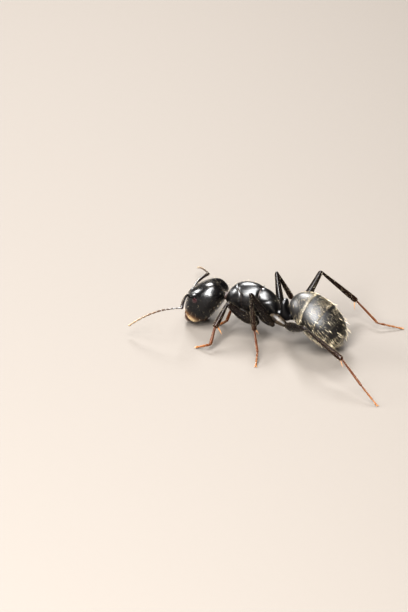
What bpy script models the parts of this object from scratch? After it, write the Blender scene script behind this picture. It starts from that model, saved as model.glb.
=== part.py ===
"""A carpenter ant worker, life size, standing with its head lowered and its gaster curled under.

World axes: the head points to -X, the ant's left side to -Y, +Z is up and the floor is at Z = 0.
Sizes below are in millimetres and are scaled to metres as each mesh is written.
Every body part, limb and feeler is one closed solid, parted from the next by a thin cut.
"""

import math

import bmesh
import bpy
from mathutils import Matrix, Vector

MM = 0.001
CUT = 0.05  # width of the cut between two neighbouring pieces
STANCE_SHIFT = Vector((-0.68, 0.13, 0.0))  # puts the middle of the ant's box over the origin

# Driving sizes of the worker
HEAD_LENGTH = 3.6  # occiput to the front edge of the clypeus
HEAD_HALF_WIDTH = 1.56
HEAD_HALF_DEPTH = 1.2
TRUNK_HALF_WIDTH = 1.1
TRUNK_FLOOR = 1.75  # height of the underside of the trunk
SOCKET_RISE = 1.54  # a scape starts this far above the middle of the head
GASTER_HALF_LENGTH = 2.55
GASTER_HALF_WIDTH = 1.72
GASTER_HALF_DEPTH = 1.66
LIMB_RADIUS = 0.25  # the thinnest limb or feeler is twice this thick
FOOT_AXIS_HEIGHT = 0.12  # height of a toe's middle line, so that the floor cuts a flat on it

LIMB_SIDES = 10
BODY_SIDES = 24
BALL_ANGLES = (math.radians(80), math.radians(45))  # the loops of a limb's rounded end

# Where each limb leaves its coxa, for the ant's left side
HIPS = {
    "front": Vector((-1.17, -0.74, 1.18)),
    "middle": Vector((0.20, -0.90, 1.40)),
    "hind": Vector((1.28, -0.67, 1.46)),
}
COXA_TOPS = {
    "front": Vector((-2.75, -0.72, 1.85)),
    "middle": Vector((-0.85, -0.62, 1.85)),
    "hind": Vector((0.05, -0.42, 1.80)),
}
# Lengths of femur, tibia, first tarsal joint and the other tarsal joints together
LIMB_LENGTHS = {
    "front": (2.80, 2.20, 1.50, 1.27),
    "middle": (3.30, 2.90, 2.00, 1.48),
    "hind": (4.30, 4.00, 2.74, 1.95),
}
# Greatest radii of coxa, femur and tibia
LIMB_RADII = {
    "front": (0.42, 0.34, 0.28),
    "middle": (0.38, 0.30, 0.27),
    "hind": (0.38, 0.30, 0.27),
}
# Heading and rise, in degrees, of femur, tibia and first tarsal joint, and the heading of the toes
STANCE = {
    ("front", "left"): ((-160, 35), (-99, -37), (-82, -36), -179),
    ("front", "right"): ((146, 34), (-115, -38), (-84, -21), 146),
    ("middle", "left"): ((-148, 58), (-43, -73), (-58, -27), -71),
    ("middle", "right"): ((129, 59), (50, -62), (34, -41), 38),
    ("hind", "left"): ((-46, 24), (-20, -17), (-32, -23), -26),
    ("hind", "right"): ((75, 39), (33, -44), (-29, -18), 28),
}

COLOURS = {
    "cuticle": ((0.012, 0.011, 0.011), 0.22),
    "eye": ((0.020, 0.012, 0.012), 0.15),
    "mandible": ((0.060, 0.028, 0.014), 0.30),
    "gaster": ((0.030, 0.026, 0.018), 0.35),
    "limb": ((0.018, 0.013, 0.011), 0.28),
    "foot": ((0.230, 0.085, 0.025), 0.40),
}


def make_materials():
    """One Principled material for each finish of the cuticle."""
    made = {}
    for name, (colour, roughness) in COLOURS.items():
        material = bpy.data.materials.new(name)
        material.use_nodes = True
        shader = material.node_tree.nodes["Principled BSDF"]
        shader.inputs["Base Color"].default_value = (*colour, 1.0)
        shader.inputs["Roughness"].default_value = roughness
        made[name] = material
    return made


def frame_at(origin, forward, up):
    """A matrix whose X runs forward, Y to that body's left and Z to its upper side."""
    x_axis = forward.normalized()
    y_axis = up.cross(x_axis).normalized()
    z_axis = x_axis.cross(y_axis)
    turned = Matrix((x_axis, y_axis, z_axis)).transposed().to_4x4()
    return Matrix.Translation(origin) @ turned


def heading(azimuth, rise):
    """The unit vector with this azimuth and rise in degrees."""
    azimuth, rise = math.radians(azimuth), math.radians(rise)
    level = math.cos(rise)
    return Vector((math.cos(azimuth) * level, math.sin(azimuth) * level, math.sin(rise)))


def eased(sections):
    """The sections with one more between each two, set on a smooth curve through their neighbours."""
    finer = [sections[0]]
    for index in range(len(sections) - 1):
        near, far = sections[index], sections[index + 1]
        before = sections[max(index - 1, 0)]
        after = sections[min(index + 2, len(sections) - 1)]
        finer.append([(9 * (b + c) - a - d) / 16 for a, b, c, d in zip(before, near, far, after)])
        finer.append(far)
    return finer


def loft(frame, sections, sides, squareness=2.0):
    """A closed skin through sections (along, left, up, half width, rise, drop) of a body frame."""
    mesh = bmesh.new()
    loops = []
    for along, left, up, half_width, rise, drop in sections:
        loop = []
        for index in range(sides):
            angle = 2 * math.pi * index / sides
            across, high = math.cos(angle), math.sin(angle)
            reach = (abs(across) ** squareness + abs(high) ** squareness) ** (-1 / squareness)
            height = (rise if high > 0 else drop) * high
            point = Vector((along, left + half_width * across * reach, up + height * reach))
            loop.append(mesh.verts.new(frame @ point))
        loops.append(loop)
    for near, far in zip(loops, loops[1:]):
        for index in range(sides):
            following = (index + 1) % sides
            mesh.faces.new((near[index], near[following], far[following], far[index]))
    mesh.faces.new(loops[0])
    mesh.faces.new(reversed(loops[-1]))
    bmesh.ops.recalc_face_normals(mesh, faces=mesh.faces)
    return mesh


def tapered_limb(start, end, radii):
    """A limb with rounded ends; radii are read at even steps from start to end."""
    along = end - start
    length = along.length
    frame = frame_at(start, along, Vector((0.0, 0.0, 1.0)))
    sections = []
    for angle in BALL_ANGLES:
        sections.append((-radii[0] * math.sin(angle), 0, 0, *(radii[0] * math.cos(angle),) * 3))
    for step, radius in enumerate(radii):
        sections.append((length * step / (len(radii) - 1), 0, 0, radius, radius, radius))
    for angle in reversed(BALL_ANGLES):
        sections.append((length + radii[-1] * math.sin(angle), 0, 0, *(radii[-1] * math.cos(angle),) * 3))
    return loft(frame, sections, LIMB_SIDES)


def bow(mesh, start, end, sag):
    """Bends a straight limb so that its middle stands off by sag and its ends stay."""
    span = end - start
    for vertex in mesh.verts:
        place = min(max((vertex.co - start).dot(span) / span.length_squared, 0.0), 1.0)
        vertex.co += sag * (4 * place * (1 - place))


def slice_off(mesh, point, normal):
    """Removes what lies past a plane and closes the cut."""
    geometry = mesh.verts[:] + mesh.edges[:] + mesh.faces[:]
    result = bmesh.ops.bisect_plane(
        mesh, geom=geometry, plane_co=point, plane_no=normal, clear_outer=True, dist=1e-5
    )
    rim = [item for item in result["geom_cut"] if isinstance(item, bmesh.types.BMEdge)]
    if rim:
        bmesh.ops.holes_fill(mesh, edges=rim, sides=0)
        bmesh.ops.recalc_face_normals(mesh, faces=mesh.faces)


def part_at(mesh, point, normal):
    """Ends a piece half a cut's width short of the plane that parts it from its neighbour."""
    normal = normal.normalized()
    slice_off(mesh, point - normal * CUT / 2, normal)


def add_piece(name, mesh, material, collection):
    """Writes the mesh as an object of the ant, in metres, smooth except at its cut faces."""
    bmesh.ops.translate(mesh, verts=mesh.verts, vec=STANCE_SHIFT)
    bmesh.ops.scale(mesh, verts=mesh.verts, vec=Vector((MM, MM, MM)))
    data = bpy.data.meshes.new(name)
    mesh.to_mesh(data)
    mesh.free()
    data.materials.append(material)
    data.shade_smooth()
    data.set_sharp_from_angle(angle=math.radians(50))
    piece = bpy.data.objects.new(name, data)
    collection.objects.link(piece)
    return piece


def head_frame():
    """The head hangs from the neck, turned and rolled a little to its left and pitched well down."""
    turn, pitch, roll = (math.radians(angle) for angle in (17, 49, 16))
    level = math.cos(pitch)
    forward = Vector((-math.cos(turn) * level, -math.sin(turn) * level, -math.sin(pitch)))
    left = Vector((math.sin(turn), -math.cos(turn), 0.0))
    up = forward.cross(left)
    rolled_up = up * math.cos(roll) - left * math.sin(roll)
    return frame_at(Vector((-5.69, -0.24, 1.88)), forward, rolled_up)


def build_head(materials, collection):
    """The capsule of the head, its eyes and its two toothed jaws."""
    frame = head_frame()
    front = HEAD_LENGTH - 1.95
    width, depth = HEAD_HALF_WIDTH, HEAD_HALF_DEPTH
    sections = [
        (-1.95, 0, 0, width * 0.30, depth * 0.22, depth * 0.18),
        (-1.86, 0, 0, width * 0.56, depth * 0.44, depth * 0.38),
        (-1.55, 0, 0, width * 0.85, depth * 0.72, depth * 0.66),
        (-1.05, 0, 0, width * 0.98, depth * 0.91, depth * 0.81),
        (-0.45, 0, 0, width, depth * 1.03, depth * 0.90),
        (0.15, 0, 0, width * 0.97, depth * 1.10, depth * 0.93),
        (0.75, 0, 0, width * 0.90, depth * 1.00, depth * 0.90),
        (1.30, 0, 0, width * 0.81, depth * 0.74, depth * 0.78),
        (front, 0, 0, width * 0.72, depth * 0.52, depth * 0.62),
    ]
    add_piece("head", loft(frame, eased(sections), BODY_SIDES, 2.2), materials["cuticle"], collection)
    turned = frame.to_3x3()
    for side, sign in (("left", 1), ("right", -1)):
        seat = frame @ Vector((-0.10, sign * 1.26, 0.80))
        outward = (turned @ Vector((0.05, sign * 0.80, 0.62))).normalized()
        eye = bmesh.new()
        bmesh.ops.create_uvsphere(eye, u_segments=12, v_segments=8, radius=1.0)
        lens = frame_at(seat, turned @ Vector((1.0, 0.0, 0.0)), outward)
        lens = lens @ Matrix.Diagonal((0.40, 0.34, 0.26, 1.0))
        bmesh.ops.transform(eye, matrix=lens, verts=eye.verts)
        slice_off(eye, seat + outward * 0.06, -outward)
        add_piece(f"eye_{side}", eye, materials["eye"], collection)
        jaw = [
            (front + CUT, sign * 0.53, -0.02, 0.50, 0.46, 0.46),
            (front + 0.22, sign * 0.50, -0.04, 0.46, 0.38, 0.40),
            (front + 0.38, sign * 0.42, -0.06, 0.38, 0.29, 0.31),
            (front + 0.50, sign * 0.34, -0.08, 0.27, 0.19, 0.20),
        ]
        add_piece(f"mandible_{side}", loft(frame, eased(jaw), 14), materials["mandible"], collection)


def build_antennae(materials, collection):
    """Each feeler is a long scape to the elbow and a whip of small joints, in two lengths."""
    frame = head_frame()
    elbows = {"left": Vector((-5.68, -4.15, 2.97)), "right": Vector((-6.99, 2.93, 2.44))}
    bends = {"left": Vector((-7.85, -4.80, 2.22)), "right": Vector((-8.40, 4.75, 1.75))}
    tips = {"left": Vector((-9.97, -4.74, 0.69)), "right": Vector((-9.68, 6.62, 0.68))}
    face_up = frame.to_3x3() @ Vector((0, 0, 1))
    names = ("scape", "flagellum_base", "flagellum_tip")
    sags = (face_up * 0.25, Vector((0, 0, 0.10)), Vector((0, 0, 0.10)))
    for side, sign in (("left", 1), ("right", -1)):
        socket = frame @ Vector((0.62, sign * 0.48, SOCKET_RISE))
        route = [socket, elbows[side], bends[side], tips[side]]
        for index, name in enumerate(names):
            start, end = route[index], route[index + 1]
            ahead = (end - start).normalized()
            mesh = tapered_limb(start, end, (LIMB_RADIUS,) * 7)
            bow(mesh, start, end, sags[index])
            if index:
                behind = (start - route[index - 1]).normalized()
                part_at(mesh, start, -(behind + ahead))
            if index < 2:
                beyond = (route[index + 2] - end).normalized()
                part_at(mesh, end, ahead + beyond)
            add_piece(f"antenna_{side}_{name}", mesh, materials["limb"], collection)


def trunk_mesh():
    """The trunk whole: neck, high rounded pronotum, narrowing mesonotum and steep-ended propodeum."""
    wide = TRUNK_HALF_WIDTH
    outline = [  # place along X, underside, top, half width
        (-4.00, 2.10, 2.70, wide * 0.30),
        (-3.88, 2.00, 3.00, wide * 0.50),
        (-3.62, 1.92, 3.48, wide * 0.76),
        (-3.20, 1.84, 3.86, wide * 0.95),
        (-2.70, TRUNK_FLOOR, 4.05, wide),
        (-2.10, TRUNK_FLOOR, 4.12, wide * 0.94),
        (-1.50, TRUNK_FLOOR, 4.08, wide * 0.82),
        (-1.05, TRUNK_FLOOR, 3.98, wide * 0.72),
        (-0.55, TRUNK_FLOOR, 3.80, wide * 0.65),
        (-0.10, TRUNK_FLOOR, 3.46, wide * 0.60),
        (0.15, TRUNK_FLOOR, 3.00, wide * 0.55),
        (0.30, 1.80, 2.50, wide * 0.42),
    ]
    sections = []
    for place, bottom, top, half_width in outline:
        middle = (bottom + top) / 2
        sections.append((-place, 0, middle, half_width, top - middle, middle - bottom))
    frame = frame_at(Vector((0, 0, 0)), Vector((-1, 0, 0)), Vector((0, 0, 1)))
    return loft(frame, eased(sections), BODY_SIDES, 2.3)


def build_trunk(materials, collection):
    """Pronotum, mesonotum and propodeum, cut from the whole trunk along their sutures."""
    sutures = [
        (Vector((-2.85, 0, 3.0)), Vector((1.0, 0, 0.45))),
        (Vector((-1.20, 0, 3.0)), Vector((1.0, 0, -0.12))),
    ]
    for index, name in enumerate(("pronotum", "mesonotum", "propodeum")):
        mesh = trunk_mesh()
        if index:
            part_at(mesh, sutures[index - 1][0], -sutures[index - 1][1])
        if index < 2:
            part_at(mesh, *sutures[index])
        add_piece(name, mesh, materials["cuticle"], collection)


def build_petiole(materials, collection):
    """The waist: a short stalk that carries an upright scale with a thin rounded crest."""
    frame = frame_at(Vector((0.90, 0, 0)), Vector((0, 0, 1)), Vector((1, 0, 0)))
    sections = [
        (1.55, 0, 0.00, 0.24, 0.30, 0.34),
        (1.72, 0, 0.00, 0.34, 0.52, 0.46),
        (2.05, 0, 0.00, 0.38, 0.52, 0.46),
        (2.28, 0, 0.00, 0.42, 0.33, 0.28),
        (2.65, 0, 0.00, 0.47, 0.22, 0.20),
        (3.05, 0, 0.02, 0.44, 0.15, 0.14),
        (3.28, 0, 0.03, 0.30, 0.09, 0.09),
        (3.36, 0, 0.03, 0.14, 0.05, 0.05),
    ]
    add_piece("petiole", loft(frame, eased(sections), 16, 2.2), materials["cuticle"], collection)


def gaster_mesh(frame):
    """The gaster whole: an egg, blunt in front and drawn in towards the tip."""
    steps = 16
    sections = []
    for step in range(1, steps):
        angle = math.pi * step / steps
        place = -math.cos(angle)
        reach = math.sin(angle) ** (0.9 if place < 0 else 1.0)
        width = GASTER_HALF_WIDTH * reach
        depth = GASTER_HALF_DEPTH * reach
        sections.append((GASTER_HALF_LENGTH * place, 0, 0, width, depth, depth))
    return loft(frame, sections, BODY_SIDES)


def build_gaster(materials, collection):
    """Five rings of the gaster, parted square to its axis at the rear edge of each plate."""
    axis = heading(-5, -32)
    frame = frame_at(Vector((3.63, -0.10, 2.24)), axis, Vector((0, 0, 1)))
    edges = (-1.0, 0.4, 1.45, 2.1)
    for index in range(len(edges) + 1):
        mesh = gaster_mesh(frame)
        if index:
            part_at(mesh, frame @ Vector((edges[index - 1], 0, 0)), -axis)
        if index < len(edges):
            part_at(mesh, frame @ Vector((edges[index], 0, 0)), axis)
        add_piece(f"gaster_{index + 1}", mesh, materials["gaster"], collection)


def leg_route(pair, side):
    """Coxa top, hip, knee, ankle, first tarsal joint's end and claw of one leg."""
    mirror = Vector((1, 1 if side == "left" else -1, 1))
    route = [COXA_TOPS[pair] * mirror, HIPS[pair] * mirror]
    lengths = LIMB_LENGTHS[pair]
    *directions, toe_azimuth = STANCE[pair, side]
    for length, (azimuth, rise) in zip(lengths, directions):
        route.append(route[-1] + heading(azimuth, rise) * length)
    drop = route[-1].z - FOOT_AXIS_HEIGHT
    toe_rise = -math.degrees(math.asin(drop / lengths[3]))
    route.append(route[-1] + heading(toe_azimuth, toe_rise) * lengths[3])
    return route


def build_leg(pair, side, materials, collection):
    """Coxa, femur, tibia, first tarsal joint and toes, parted where each joint bends."""
    coxa, femur, tibia = LIMB_RADII[pair]
    thin = LIMB_RADIUS
    shapes = {
        "coxa": ((coxa * 0.85, coxa, coxa * 0.75), "limb"),
        "femur": ((femur * 0.85, femur, femur * 0.97, femur * 0.9, thin, thin), "limb"),
        "tibia": ((thin, tibia, tibia * 0.97), "limb"),
        "basitarsus": ((thin, thin, thin), "foot"),
        "toes": ((thin, thin, thin), "foot"),
    }
    route = leg_route(pair, side)
    last = len(shapes) - 1
    for index, (name, (radii, finish)) in enumerate(shapes.items()):
        start, end = route[index], route[index + 1]
        ahead = (end - start).normalized()
        mesh = tapered_limb(start, end, radii)
        if index:
            behind = (start - route[index - 1]).normalized()
            part_at(mesh, start, -(behind + ahead))
        if index < last:
            beyond = (route[index + 2] - end).normalized()
            part_at(mesh, end, ahead + beyond)
        if name == "coxa":
            slice_off(mesh, Vector((0, 0, TRUNK_FLOOR - CUT)), Vector((0, 0, 1)))
        slice_off(mesh, Vector((0, 0, 0)), Vector((0, 0, -1)))
        add_piece(f"leg_{pair}_{side}_{name}", mesh, materials[finish], collection)


def main():
    for item in list(bpy.data.objects):
        bpy.data.objects.remove(item)
    collection = bpy.data.collections.new("carpenter_ant")
    bpy.context.scene.collection.children.link(collection)
    materials = make_materials()
    build_head(materials, collection)
    build_antennae(materials, collection)
    build_trunk(materials, collection)
    build_petiole(materials, collection)
    build_gaster(materials, collection)
    for pair, side in STANCE:
        build_leg(pair, side, materials, collection)


main()
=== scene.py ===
"""A carpenter ant worker, life size: shell, eyes, jaws, feelers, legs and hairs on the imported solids."""
import math

import bpy
import numpy as np
from mathutils import Matrix, Vector


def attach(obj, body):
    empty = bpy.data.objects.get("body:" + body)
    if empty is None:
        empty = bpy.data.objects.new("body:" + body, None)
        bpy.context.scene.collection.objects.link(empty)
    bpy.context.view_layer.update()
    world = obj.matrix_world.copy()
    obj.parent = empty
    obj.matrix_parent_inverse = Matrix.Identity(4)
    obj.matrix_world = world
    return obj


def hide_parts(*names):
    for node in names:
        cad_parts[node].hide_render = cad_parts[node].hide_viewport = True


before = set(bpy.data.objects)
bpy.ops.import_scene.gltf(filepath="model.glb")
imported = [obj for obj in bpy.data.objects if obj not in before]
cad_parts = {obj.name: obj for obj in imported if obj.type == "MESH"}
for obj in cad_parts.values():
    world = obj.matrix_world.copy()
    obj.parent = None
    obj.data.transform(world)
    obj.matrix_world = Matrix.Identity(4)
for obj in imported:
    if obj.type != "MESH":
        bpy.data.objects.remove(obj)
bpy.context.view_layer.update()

# ---- Head capsule ----
# The head is one hard black capsule of chitin, widest behind the eyes and flat-cheeked in front.
# It is grown ring by ring from the back of the head to the mouth, in millimetres, then hung at the neck.
SIDES = (("left", 1), ("right", -1))
MM = 0.001  # everything is shaped in millimetres and shrunk to metres when it is settled
STANCE_SHIFT = Vector((-0.68, 0.13, 0.0))  # from the trunk's own frame to the whole ant's
UP = Vector((0, 0, 1))
HEAD_TURN, HEAD_PITCH, HEAD_ROLL = math.radians(17), math.radians(49), math.radians(16)
HEAD_MIDDLE = Vector((-5.69, -0.24, 1.88))
HEAD_WIDE = 1.54
NAPE, MOUTH = -1.92, 1.76  # where the capsule begins and ends, ahead of the head's middle
WAX_ROUGHNESS, HORN_GLOSS = 0.16, 0.45
SHELL_BLACK = (0.0035, 0.0032, 0.0034)
CELL_NET = 30000.0  # scale of the net of tiny cells in the chitin, some 0.03 mm each
HAIR_PITS = 5200.0  # scale of the sparse pits


def frame_at(origin, forward, up=UP):
    """A matrix with X forward, Y to the left of that and Z to its upper side."""
    x_axis = forward.normalized()
    y_axis = up.cross(x_axis).normalized()
    turned = Matrix((x_axis, y_axis, x_axis.cross(y_axis))).transposed().to_4x4()
    return Matrix.Translation(origin) @ turned


def picked(*pieces):
    """Selects these pieces alone; the first is the active one."""
    bpy.ops.object.select_all(action="DESELECT")
    for piece in pieces:
        piece.select_set(True)
    if pieces:
        bpy.context.view_layer.objects.active = pieces[0]


def named(piece, name):
    piece.name = piece.data.name = name
    return piece


def grown(name, sections, around=24, smoothing=2, squareness=2.0):
    """Extrudes a disc through sections (along, left, up, half width, half height) and rounds it."""
    picked()
    bpy.ops.mesh.primitive_circle_add(vertices=around, radius=1.0, fill_type="NGON",
                                      rotation=(0.0, math.pi / 2, 0.0))
    bpy.ops.object.transform_apply(rotation=True)
    piece = named(bpy.context.object, name)
    for vertex in piece.data.vertices:
        _, y, z = vertex.co
        vertex.co *= (abs(y) ** squareness + abs(z) ** squareness) ** (-1 / squareness)
    bpy.ops.object.mode_set(mode="EDIT")
    bpy.ops.mesh.select_all(action="SELECT")
    bpy.ops.transform.resize(value=(1, *sections[0][3:]), center_override=(0, 0, 0))
    bpy.ops.transform.translate(value=sections[0][:3])
    for old, new in zip(sections, sections[1:]):
        step = [b - a for a, b in zip(old[:3], new[:3])]
        bpy.ops.mesh.extrude_region_move(TRANSFORM_OT_translate={"value": step})
        bpy.ops.transform.resize(value=(1, new[3] / old[3], new[4] / old[4]), center_override=new[:3])
    bpy.ops.mesh.select_all(action="SELECT")
    bpy.ops.mesh.normals_make_consistent(inside=False)
    bpy.ops.object.mode_set(mode="OBJECT")
    # Extrusion leaves the faces in another order each run, which would move the hairs; this one is fixed.
    points = [tuple(vertex.co) for vertex in piece.data.vertices]
    faces = [tuple(face.vertices) for face in piece.data.polygons]
    faces = sorted(face[face.index(min(face)):] + face[:face.index(min(face))] for face in faces)
    piece.data.clear_geometry()
    piece.data.from_pydata(points, [], faces)
    if smoothing:
        rounding = piece.modifiers.new("rounding", "SUBSURF")
        rounding.levels = rounding.render_levels = smoothing
        bpy.ops.object.modifier_apply(modifier=rounding.name)
    return piece


def joined(name, pieces):
    """One object of several pieces, all still in their own millimetre frame or all settled."""
    picked(*pieces)
    if len(pieces) > 1:
        bpy.ops.object.join()
    return named(pieces[0], name)


def settled(piece, place):
    """Shrinks a millimetre mesh to metres, puts it in its place and leaves the object at the origin."""
    picked(piece)
    piece.matrix_world = Matrix.Scale(MM, 4) @ place
    bpy.ops.object.transform_apply(location=True, rotation=True, scale=True)
    bpy.ops.object.shade_smooth()
    return piece


def rows(piece, kind="co"):
    """The points of a mesh, or their normals, as rows of three numbers."""
    numbers = np.empty(len(piece.data.vertices) * 3)
    piece.data.vertices.foreach_get(kind, numbers)
    return numbers.reshape(-1, 3)


def reshaped(piece, points):
    """Moves the points of a mesh to these rows."""
    piece.data.vertices.foreach_set("co", points.ravel())
    piece.data.update()
    return piece


def sculpted(piece, depth_at):
    """Moves each point along its normal by depth_at(points, normals), all in the piece's millimetres."""
    points, normals = rows(piece), rows(piece, "normal")
    return reshaped(piece, points + normals * depth_at(points, normals)[:, None])


class Wire:
    """A shader socket that takes part in sums: wire * 2, 1 - wire and so on add Math nodes."""

    def __init__(self, socket):
        self.socket = socket
        self.tree = socket.id_data

    def node(self, kind, settings=None, out=0, **inputs):
        """Adds any node, sets it up, feeds its sockets with values or wires and gives one of its results."""
        made = self.tree.nodes.new(kind)
        for key, value in (settings or {}).items():
            if key == "stops":
                ramp = made.color_ramp
                while len(ramp.elements) < len(value):
                    ramp.elements.new(0.5)
                for element, (place, colour) in zip(ramp.elements, value):
                    element.position = place
                    element.color = (*colour, 1.0)
            else:
                setattr(made, key, value)
        for key, value in inputs.items():
            spot = made.inputs[int(key[1:])] if key[1:].isdigit() else made.inputs[key]
            if isinstance(value, Wire):
                self.tree.links.new(value.socket, spot)
            else:
                spot.default_value = value
        return Wire(made.outputs[out])

    def maths(self, operation, first, second):
        return self.node("ShaderNodeMath", {"operation": operation}, i0=first, i1=second)

    def __add__(self, other):
        return self.maths("ADD", self, other)

    def __sub__(self, other):
        return self.maths("SUBTRACT", self, other)

    def __rsub__(self, other):
        return self.maths("SUBTRACT", other, self)

    def __mul__(self, other):
        return self.maths("MULTIPLY", self, other)

    __radd__, __rmul__ = __add__, __mul__

    def spread(self, low, high):
        """0 below low, 1 above high."""
        return self.node("ShaderNodeMapRange", Value=self, **{"From Min": low, "From Max": high})

    def noise(self, scale, detail):
        return self.node("ShaderNodeTexNoise", Vector=self, Scale=scale, Detail=detail)

    def cells(self, scale, feature="DISTANCE_TO_EDGE"):
        return self.node("ShaderNodeTexVoronoi", {"feature": feature}, Vector=self, Scale=scale)

    def tinted(self, *stops):
        """Colours from a ramp with these (place, colour) stops."""
        return self.node("ShaderNodeValToRGB", {"stops": stops}, Fac=self)

    def bump(self, strength, depth):
        """Normals from this height, depth in metres."""
        return self.node("ShaderNodeBump", Height=self, Strength=strength, Distance=depth)

    def feeds(self, shader, socket):
        self.tree.links.new(self.socket, shader.inputs[socket])


def finish(name, colour, roughness, coat=0.0):
    """A Principled finish. Returns the material, its shader node and a wire of Object coordinates."""
    material = bpy.data.materials.new(name)
    material.use_nodes = True
    shader = material.node_tree.nodes["Principled BSDF"]
    for socket, value in (("Base Color", (*colour, 1.0)), ("Roughness", roughness), ("Coat Weight", coat),
                          ("Coat Roughness", WAX_ROUGHNESS), ("Specular IOR Level", HORN_GLOSS)):
        shader.inputs[socket].default_value = value
    places = material.node_tree.nodes.new("ShaderNodeTexCoord")
    return material, shader, Wire(places.outputs["Object"])


def shell_finish(name, roughness, coat):
    """Black chitin: a net of tiny cells, sparse pits at the hairs' feet and a thin clear wax."""
    material, shader, places = finish(name, SHELL_BLACK, roughness, coat)
    cloud = places.noise(1400.0, 3.0)
    pits = 1 - places.cells(HAIR_PITS, "F1").spread(0.10, 0.22)
    relief = places.cells(CELL_NET).spread(0.0, 0.25) * 0.25 - pits * 0.4 + cloud * 0.25
    relief.bump(0.30, 0.000012).feeds(shader, "Normal")
    (cloud * 0.16 + (roughness - 0.08)).feeds(shader, "Roughness")
    return material, shader, places


def ridge(distance, width):
    """A smooth ridge, 1 where the distance is 0."""
    return np.exp(-(distance / width) ** 2)


def between(value, low, high, soft):
    """1 between low and high, fading to 0 over soft on both sides."""
    return np.clip((value - low) / soft + 0.5, 0, 1) * np.clip((high - value) / soft + 0.5, 0, 1)


level = math.cos(HEAD_PITCH)
head_forward = Vector((-math.cos(HEAD_TURN) * level, -math.sin(HEAD_TURN) * level, -math.sin(HEAD_PITCH)))
head_left = Vector((math.sin(HEAD_TURN), -math.cos(HEAD_TURN), 0.0))
head_up = head_forward.cross(head_left) * math.cos(HEAD_ROLL) - head_left * math.sin(HEAD_ROLL)
head_place = frame_at(HEAD_MIDDLE + STANCE_SHIFT, head_forward, head_up)
head = grown("head_capsule", [(along, 0, rise, HEAD_WIDE * wide, deep) for along, rise, wide, deep in (
    (NAPE, 0.01, 0.18, 0.17), (-1.90, 0.01, 0.40, 0.34), (-1.82, 0.03, 0.63, 0.57),
    (-1.59, 0.08, 0.83, 0.80), (-1.22, 0.12, 0.96, 0.99), (-0.78, 0.16, 1.02, 1.14),
    (-0.35, 0.19, 1.03, 1.24), (0.10, 0.20, 0.99, 1.29), (0.52, 0.16, 0.93, 1.24),
    (0.92, 0.08, 0.86, 1.11), (1.25, 0.01, 0.80, 0.95), (1.50, -0.04, 0.74, 0.80),
    (1.68, -0.06, 0.68, 0.65), (MOUTH, -0.06, 0.60, 0.51), (1.79, -0.06, 0.48, 0.36),
    (1.72, -0.06, 0.30, 0.20))], 44, 3, 2.6)
EYE_SEAT = (0.02, 1.32, 0.62)  # ahead of the head's middle, aside and up


def head_relief(points, normals):
    """The face's furrow, keels, sockets, shield, seams and pits, the eyes' moats, throat and mouth rim."""
    ahead, left, up = points.T
    side = np.abs(left)
    face = np.clip((normals[:, 2] - 0.05) * 4, 0, 1)
    under = np.clip((-normals[:, 2] - 0.05) * 4, 0, 1)
    depth = -0.020 * ridge(left, 0.030) * between(ahead, -0.55, 0.62, 0.3) * face  # furrow
    keel_line = side - (0.34 + 0.16 * np.sin((0.80 - ahead) * 2.0))
    keel = between(ahead, -0.15, 0.86, 0.25) * face
    depth += 0.060 * ridge(keel_line, 0.050) * keel - 0.035 * ridge(keel_line - 0.10, 0.05) * keel
    socket = np.hypot(ahead - 0.62, side - 0.47)
    depth += (-0.11 * ridge(socket, 0.13) + 0.035 * ridge(socket - 0.19, 0.04)) * face
    shield = ((np.abs(ahead - 1.42) / 0.58) ** 2.6 + (side / 0.74) ** 2.6) ** (1 / 2.6)
    depth += (0.045 * np.clip((1 - shield) * 6, 0, 1) - 0.040 * ridge((shield - 1.04) * 0.6, 0.035)) * face
    depth += 0.035 * ridge(left, 0.055) * between(ahead, 0.95, 1.62, 0.2) * face  # the shield's own keel
    depth -= 0.05 * ridge(np.hypot(ahead - 1.06, side - 0.62), 0.045) * face  # pits at its upper corners
    triangle = np.maximum(np.abs(ahead - 0.78) * 1.1, side * 0.8)
    depth -= 0.02 * ridge(triangle - 0.10, 0.03) * face
    eye_distance = np.sqrt(sum((place - seat) ** 2 for place, seat in zip((ahead, side, up), EYE_SEAT)))
    depth -= 0.016 * ridge(eye_distance - 0.46, 0.06)
    depth -= 0.030 * ridge(left, 0.025) * between(ahead, -1.5, 1.25, 0.2) * under  # throat seam
    depth -= 0.060 * ridge(np.hypot(ahead - 1.35, left * 0.9), 0.32) * under  # hollow behind the mouth
    cheek = side - 0.62 - 0.10 * (1.3 - ahead)
    depth -= 0.026 * ridge(cheek, 0.030) * between(ahead, 0.55, 1.5, 0.2) * under
    depth -= 0.10 * ridge(left, 0.55) * ridge(ahead - NAPE, 0.30)
    depth += 0.030 * ridge(ahead - MOUTH + 0.10, 0.06) * np.clip(1 - face, 0, 1)
    depth -= 0.05 * ridge(ahead - 1.40, 0.08) * between(side, 0.9, 2.0, 0.2)  # cheek seam
    return depth


black_shell, _, _ = shell_finish("black_shell", 0.35, 0.12)
# The head clears to tan towards the mouth's lower rim.
head_shell, head_shader, head_places = shell_finish("head_shell", 0.27, 0.16)
muzzle = head_forward - head_up * 0.30
muzzle_start = muzzle.dot(head_place.translation) * MM
muzzle_share = head_places.node("ShaderNodeVectorMath", {"operation": "DOT_PRODUCT"}, "Value",
                                i0=head_places, i1=tuple(muzzle)) + head_places.noise(1800.0, 2.0) * 0.0002
muzzle_share.spread(muzzle_start + 0.95 * MM, muzzle_start + 1.80 * MM).tinted(
    (0.0, SHELL_BLACK), (0.40, (0.014, 0.008, 0.005)), (0.66, (0.065, 0.034, 0.016)),
    (1.0, (0.27, 0.20, 0.12))).feeds(head_shader, "Base Color")
settled(sculpted(head, head_relief), head_place)
head.data.materials.append(head_shell)
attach(head, "root")
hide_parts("head")

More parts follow.
